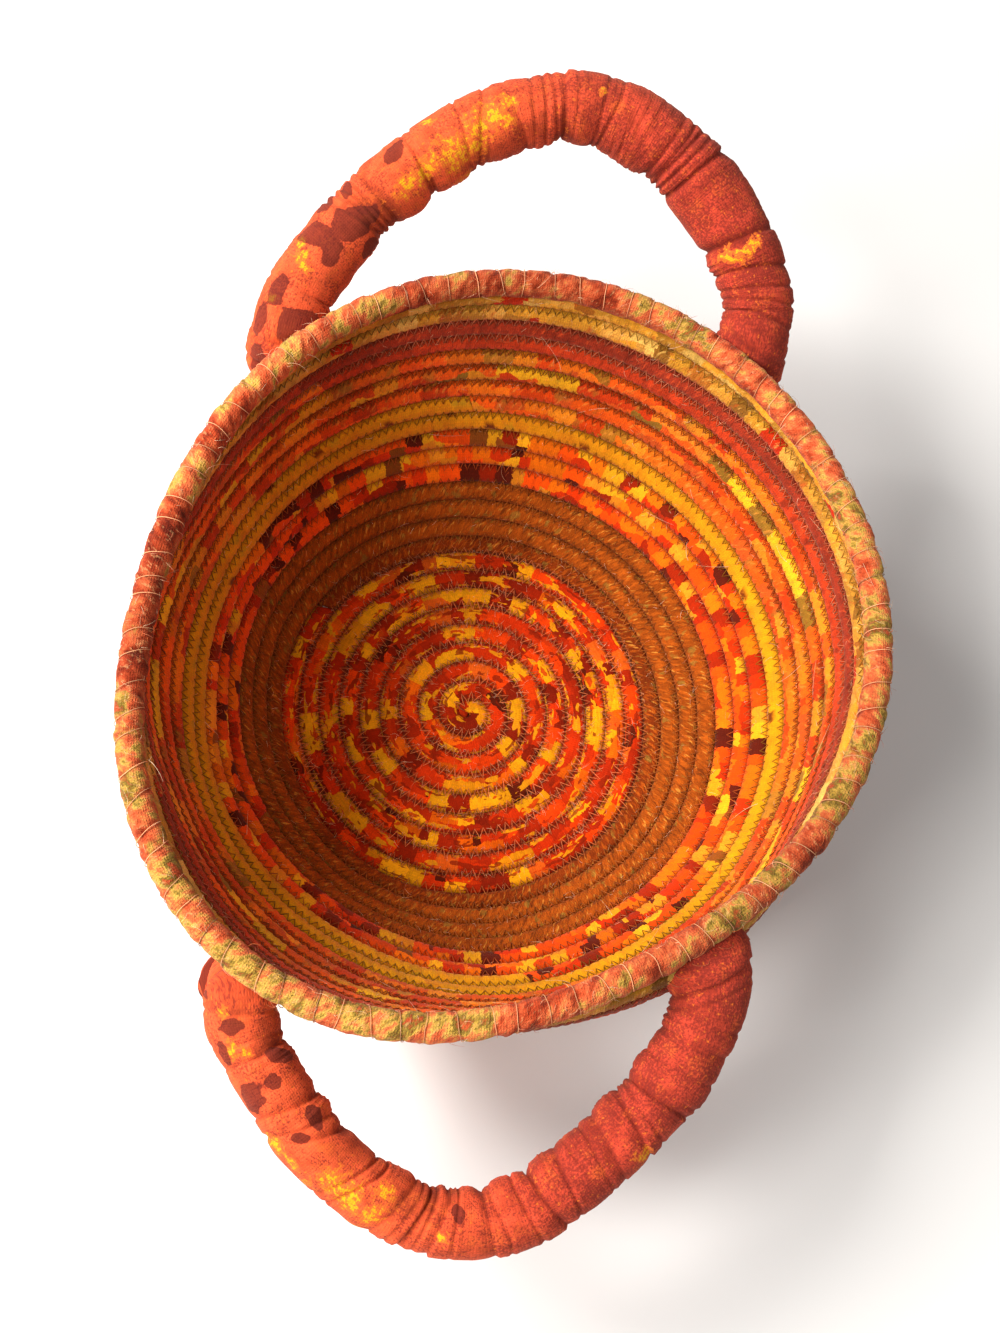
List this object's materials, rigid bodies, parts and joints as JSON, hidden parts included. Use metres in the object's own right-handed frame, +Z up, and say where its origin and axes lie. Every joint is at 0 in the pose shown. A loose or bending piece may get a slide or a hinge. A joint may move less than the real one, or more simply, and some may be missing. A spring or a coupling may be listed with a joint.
{
  "type": "coiled fabric basket",
  "caption": "Round flared basket of coiled, cloth-wrapped cord sewn turn to turn, with a thicker wrapped rim and padded loop handles on opposite sides.",
  "frame": {"origin": "centre of the bounding box in plan, on the floor under the base", "axes": "+Z up out of the mouth; the two handles lie towards +Y (raised) and -Y (drooping)"},
  "size_m": [0.2588, 0.3978, 0.1565],
  "materials": {
    "cotton_cord": "matt twisted cotton cord",
    "cloth_patchwork": "matt woven cotton, mixed prints of red, orange, yellow and brown",
    "cloth_brown": "matt woven cotton, rust brown",
    "cloth_yellow": "matt woven cotton, amber yellow",
    "cloth_orange": "matt woven cotton, bright orange",
    "cloth_red": "matt woven cotton, mottled red",
    "cloth_gold": "matt woven cotton, gold",
    "cloth_rim": "matt woven cotton, coral with yellow-green parts",
    "cloth_handle": "matt woven cotton, coral and brick red, mottled",
    "cotton_wadding": "loose cotton wadding",
    "sewing_thread": "matt cotton sewing thread, pale pink"
  },
  "bodies": {
    "basket": {"core_rope": "cotton_cord", "wrap_base": "cloth_patchwork", "wrap_brown": "cloth_brown", "wrap_patch": "cloth_patchwork", "wrap_yellow": "cloth_yellow", "wrap_orange": "cloth_orange", "wrap_red": "cloth_red", "wrap_gold": "cloth_gold", "rim_rope": "cotton_cord", "rim_wrap": "cloth_rim", "handle_a_end_left": "cloth_handle", "handle_a_stitch_left": "sewing_thread", "handle_a_end_right": "cloth_handle", "handle_a_stitch_right": "sewing_thread", "handle_b_end_left": "cloth_handle", "handle_b_stitch_left": "sewing_thread", "handle_b_end_right": "cloth_handle", "handle_b_stitch_right": "sewing_thread"},
    "handle_a": {"handle_a_cover": "cloth_handle", "handle_a_padding": "cotton_wadding", "handle_a_rope": "cotton_cord"},
    "handle_b": {"handle_b_cover": "cloth_handle", "handle_b_padding": "cotton_wadding", "handle_b_rope": "cotton_cord"}
  },
  "joints": [
    {"name": "handle_a_fold", "type": "hinge", "parent": "basket", "child": "handle_a", "pos_m": [0, 0.13085, 0.11417], "axis": [1, 0, 0], "range_deg": [0, 62]},
    {"name": "handle_b_fold", "type": "hinge", "parent": "basket", "child": "handle_b", "pos_m": [0, -0.13115, 0.09077], "axis": [-1, 0, 0], "range_deg": [0, 95]}
  ]
}
